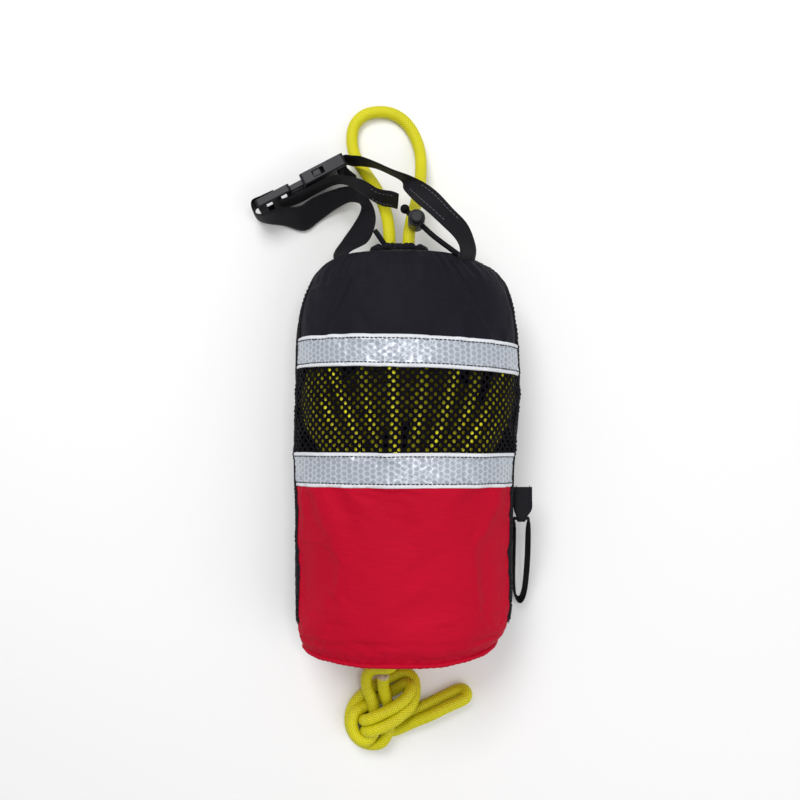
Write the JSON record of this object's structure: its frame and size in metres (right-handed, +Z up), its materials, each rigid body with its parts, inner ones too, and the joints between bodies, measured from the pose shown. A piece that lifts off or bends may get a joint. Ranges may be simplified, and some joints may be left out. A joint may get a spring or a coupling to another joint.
{
  "type": "throw rope bag",
  "caption": "Stuffed fabric throw bag with drawstring mouth, mesh window, reflective bands, floating rope with hand loop and knotted end, and side-release buckle strap.",
  "frame": {"origin": "middle of the flat back the bag lies on, at ground level", "axes": "+Z up from the ground through the front of the bag, +Y from the base to the mouth, +X towards the side with the carrying loop"},
  "size_m": [0.2185, 0.5197, 0.1027],
  "materials": {
    "red_cloth": "coated nylon, satin",
    "black_cloth": "coated nylon, satin",
    "black_mesh": "knitted mesh, satin",
    "reflective_tape": "glossy honeycomb film",
    "webbing": "woven, satin",
    "black_cord": "braided, matte",
    "rope": "braided floating line, satin",
    "foam": "closed-cell foam, matte",
    "black_plastic": "moulded acetal, satin",
    "eyelet_metal": "blackened",
    "spring_steel": "drawn wire"
  },
  "bodies": {
    "bag": {"base_panel": "red_cloth", "lower_panel": "red_cloth", "mesh_panel": "black_mesh", "collar_panel": "black_cloth", "back_panel": "black_cloth", "tape_lower": "reflective_tape", "tape_upper": "reflective_tape", "side_webbing_left": "webbing", "side_webbing_right": "webbing", "base_piping": "red_cloth", "mouth_hem": "black_cloth", "hem_cord": "black_cord", "foam_float": "foam", "stuffed_rope": "rope", "rope_top_loop": "rope", "grommet": "eyelet_metal", "grommet_washer": "eyelet_metal", "buckle_female": "black_plastic", "strap_right": "webbing", "strap_left": "webbing", "drawstring_right": "black_cord", "drawstring_knot": "black_cord", "drawstring_left": "black_cord", "drawstring_eyelet": "black_plastic", "side_tab": "webbing"},
    "rope_end": {"rope_knot": "rope", "rope_neck": "rope", "rope_cut_end": "rope", "rope_tail_loop": "rope"},
    "buckle_half": {"buckle_male": "black_plastic", "strap_turn": "webbing", "strap_tail": "webbing"},
    "prong_upper": {"buckle_prong_upper": "black_plastic"},
    "prong_lower": {"buckle_prong_lower": "black_plastic"},
    "cord_lock": {"lock_barrel": "black_plastic", "lock_spring": "spring_steel"},
    "lock_button": {"lock_plunger": "black_plastic"},
    "carrying_loop": {"side_loop": "webbing"}
  },
  "joints": [
    {"name": "rope_end_pull", "type": "slide", "parent": "bag", "child": "rope_end", "axis": [0, -1, 0], "range_m": [0, 0.025]},
    {"name": "buckle_release", "type": "slide", "parent": "bag", "child": "buckle_half", "axis": [-0.8877, -0.4604, 0], "range_m": [0, 0.022], "deforming": ["buckle_prong_upper", "buckle_prong_lower"]},
    {"name": "prong_upper_flex", "type": "hinge", "parent": "buckle_half", "child": "prong_upper", "pos_m": [-0.09092, 0.20856, 0.03], "axis": [0.4604, -0.8877, 0], "range_deg": [-7, 0], "stiffness_Nm_per_rad": 1.2},
    {"name": "prong_lower_flex", "type": "hinge", "parent": "buckle_half", "child": "prong_lower", "pos_m": [-0.09092, 0.20856, 0.01], "axis": [0.4604, -0.8877, 0], "range_deg": [0, 7], "stiffness_Nm_per_rad": 1.2},
    {"name": "cord_lock_slide", "type": "slide", "parent": "bag", "child": "cord_lock", "axis": [0.719, -0.695, 0], "range_m": [-0.0015, 0.0045]},
    {"name": "cord_lock_press", "type": "slide", "parent": "cord_lock", "child": "lock_button", "axis": [0, 0, -1], "range_m": [0, 0.0025], "stiffness_N_per_m": 1500, "deforming": ["lock_spring"]},
    {"name": "carrying_loop_swing", "type": "hinge", "parent": "bag", "child": "carrying_loop", "pos_m": [0.0892, -0.0475, 0.042], "axis": [-1, 0, 0], "range_deg": [0, 90]}
  ],
  "couplings": [
    {"joint": "prong_lower_flex", "follows": "prong_upper_flex", "ratio": -1}
  ]
}
